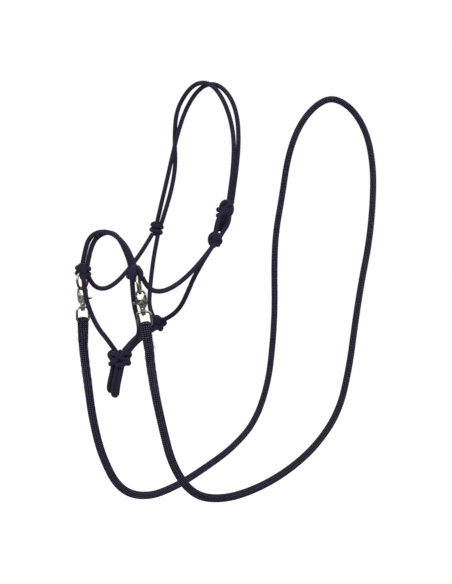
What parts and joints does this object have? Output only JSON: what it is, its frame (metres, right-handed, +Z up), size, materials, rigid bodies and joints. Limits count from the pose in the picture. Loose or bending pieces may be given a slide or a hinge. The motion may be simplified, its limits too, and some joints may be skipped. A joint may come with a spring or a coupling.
{
  "type": "rope halter",
  "caption": "Knotted rope horse halter with crown, noseband, cheek, throat and chin cords, a fiador knot with lead loops, side rings, and a braided rein on swivel trigger snaps.",
  "frame": {"origin": "the poll rest: on the middle plane, at the underside of the crown cords where they cross the horse's poll", "axes": "+Z up, -Y towards the nose, +X to the horse's left, the side it is tied and led from"},
  "size_m": [0.2125, 0.7584, 0.8117],
  "materials": {
    "halter_cord": "dark navy-black braided polyester cord, matt",
    "knotted_cord": "the same cord drawn up tight in knots",
    "rein_rope": "thick solid-braid rope with paler flecks in its plaits",
    "rein_splice": "rope folded back and spliced into itself, coarser and stitched",
    "snap_metal": "die-cast zinc, antique nickel plated",
    "ring_metal": "welded steel wire, nickel plated",
    "pin_steel": "plain steel"
  },
  "bodies": {
    "root": {"crown_cord_front": "halter_cord", "crown_cord_back": "halter_cord", "noseband_cord_upper": "halter_cord", "noseband_cord_lower": "halter_cord", "right_cheek_cord": "halter_cord", "left_cheek_cord": "halter_cord", "right_throat_cord": "halter_cord", "left_throat_cord": "halter_cord", "right_chin_cord": "halter_cord", "left_chin_cord": "halter_cord", "throat_cord_upper": "halter_cord", "throat_cord_lower": "halter_cord", "tie_loop": "halter_cord", "lead_loop_right": "halter_cord", "lead_loop_left": "halter_cord", "right_nose_knot": "knotted_cord", "left_nose_knot": "knotted_cord", "right_cheek_knot": "knotted_cord", "left_loop_knot": "knotted_cord", "crown_tie_knot": "knotted_cord", "throat_knot": "knotted_cord", "fiador_knot": "knotted_cord", "rein_rope": "rein_rope", "right_rein_eye": "rein_splice", "left_rein_eye": "rein_splice", "right_swivel_eye": "snap_metal", "left_swivel_eye": "snap_metal"},
    "right_ring": {"right_ring": "ring_metal"},
    "right_snap": {"right_snap_hook": "snap_metal", "right_trigger_pin": "pin_steel", "right_trigger_spring": "pin_steel"},
    "right_trigger": {"right_snap_trigger": "snap_metal"},
    "left_ring": {"left_ring": "ring_metal"},
    "left_snap": {"left_snap_hook": "snap_metal", "left_trigger_pin": "pin_steel", "left_trigger_spring": "pin_steel"},
    "left_trigger": {"left_snap_trigger": "snap_metal"}
  },
  "joints": [
    {"name": "right_snap_swivel", "type": "hinge", "parent": "root", "child": "right_snap", "pos_m": [-0.066, -0.24, -0.334], "axis": [0, 0, 1], "range_deg": [-8, 15]},
    {"name": "right_ring_twist", "type": "hinge", "parent": "root", "child": "right_ring", "pos_m": [-0.066, -0.24, -0.334], "axis": [0, 0, 1], "range_deg": [-8, 15]},
    {"name": "right_trigger_pivot", "type": "hinge", "parent": "right_snap", "child": "right_trigger", "pos_m": [-0.06278, -0.2373, -0.3809], "axis": [0.6429, -0.7659, 0], "range_deg": [0, 30], "stiffness_Nm_per_rad": 0.02, "springref_deg": -28.65},
    {"name": "left_snap_swivel", "type": "hinge", "parent": "root", "child": "left_snap", "pos_m": [0.068, -0.24, -0.3355], "axis": [-0.015, -0.187, 0.9822], "range_deg": [-8, 20]},
    {"name": "left_ring_twist", "type": "hinge", "parent": "root", "child": "left_ring", "pos_m": [0.068, -0.24, -0.3355], "axis": [-0.015, -0.187, 0.9822], "range_deg": [-8, 20]},
    {"name": "left_trigger_pivot", "type": "hinge", "parent": "left_snap", "child": "left_trigger", "pos_m": [0.06547, -0.23385, -0.38211], "axis": [-0.6371, 0.7589, 0.1348], "range_deg": [0, 30], "stiffness_Nm_per_rad": 0.02, "springref_deg": -28.65}
  ],
  "couplings": [
    {"joint": "right_ring_twist", "follows": "right_snap_swivel", "ratio": 1},
    {"joint": "left_ring_twist", "follows": "left_snap_swivel", "ratio": 1}
  ]
}
